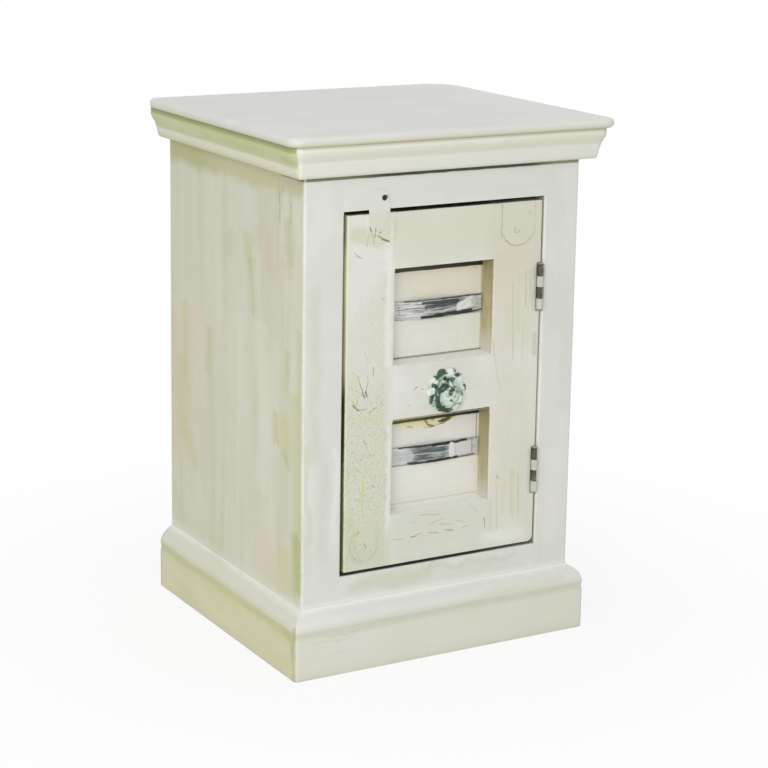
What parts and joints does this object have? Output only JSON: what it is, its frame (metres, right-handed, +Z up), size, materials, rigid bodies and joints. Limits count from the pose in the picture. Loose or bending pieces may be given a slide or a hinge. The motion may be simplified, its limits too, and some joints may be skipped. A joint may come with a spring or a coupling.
{
  "type": "bedside pot cupboard",
  "caption": "Upright painted bedside cupboard with a bullnosed top, cornice, moulded plinth and a thick framed door on butt hinges, with a ring pull and a pivoting hasp.",
  "frame": {"origin": "on the floor, under the middle of the cupboard's box seen from above", "axes": "+Z up, -Y towards the front that the door is on, +X to the right seen from the front, where the hinges are"},
  "size_m": [0.411, 0.37, 0.6],
  "materials": {
    "top_paint": "brushed off-white paint on boards, worn satin",
    "moulding_paint": "off-white paint with an olive undercoat showing in the hollows",
    "carcass_paint": "brushed off-white paint on planed softwood",
    "side_paint": "thin cream wash over vertical grain",
    "door_paint": "old cream and white paint, chipped and hand worn",
    "bare_wood": "unpainted aged softwood",
    "strap_steel": "blued steel strap with old paint on its ends",
    "plate_paint": "sheet iron under the same cream paint as the door",
    "hinge_steel": "dark browned steel with pale worn knuckles",
    "screw_steel": "dull zinc-plated steel",
    "pull_mint": "mint paint worn through to dark green on a cast rosette",
    "pull_iron": "dark green-black paint on iron, rubbed pale",
    "catch_plastic": "moulded brown plastic"
  },
  "bodies": {
    "carcass": {"top_board": "top_paint", "cornice_front": "moulding_paint", "cornice_left": "moulding_paint", "cornice_right": "moulding_paint", "plinth_front": "moulding_paint", "plinth_left": "moulding_paint", "plinth_right": "moulding_paint", "post_front_left": "carcass_paint", "post_front_right": "carcass_paint", "rail_front_head": "carcass_paint", "rail_front_sill": "carcass_paint", "post_rear_left": "carcass_paint", "post_rear_right": "carcass_paint", "side_left": "side_paint", "side_right": "side_paint", "rail_rear_head": "bare_wood", "rail_rear_foot": "bare_wood", "back_board_1": "bare_wood", "back_board_2": "bare_wood", "back_board_3": "bare_wood", "floor_board": "bare_wood", "shelf": "bare_wood", "floor_cleats": "bare_wood", "shelf_cleats": "bare_wood", "glue_blocks": "bare_wood", "door_stop": "bare_wood", "hinge_upper_frame_leaf": "hinge_steel", "hinge_upper_pin": "hinge_steel", "hinge_lower_frame_leaf": "hinge_steel", "hinge_lower_pin": "hinge_steel", "hinge_frame_screws": "screw_steel", "catch_body": "catch_plastic"},
    "door": {"door_stile_free": "door_paint", "door_stile_hinge": "door_paint", "door_rail_top": "door_paint", "door_rail_middle": "door_paint", "door_rail_bottom": "door_paint", "door_foot_board": "door_paint", "door_panel_upper": "door_paint", "door_panel_lower": "door_paint", "strap_upper": "strap_steel", "strap_lower": "strap_steel", "strap_nails": "strap_steel", "corner_plate_top": "plate_paint", "corner_plate_low": "plate_paint", "plate_nails": "plate_paint", "hinge_upper_door_leaf": "hinge_steel", "hinge_lower_door_leaf": "hinge_steel", "hinge_door_screws": "screw_steel", "hasp_rivet": "plate_paint", "pull_rosette": "pull_mint", "pull_eye": "pull_iron", "pull_nut": "pull_iron", "catch_strike": "screw_steel"},
    "hasp": {"hasp": "plate_paint"},
    "ring": {"pull_ring": "pull_iron"}
  },
  "joints": [
    {"name": "door_hinge", "type": "hinge", "parent": "carcass", "child": "door", "pos_m": [0.1248, -0.156, 0.3035], "axis": [0, 0, 1], "range_deg": [0, 170]},
    {"name": "hasp_swing", "type": "hinge", "parent": "door", "child": "hasp", "pos_m": [-0.0825, -0.1548, 0.4885], "axis": [0, 1, 0], "range_deg": [0, 95]},
    {"name": "ring_swing", "type": "hinge", "parent": "door", "child": "ring", "pos_m": [0.005, -0.161, 0.3125], "axis": [-1, 0, 0], "range_deg": [0, 150]}
  ]
}
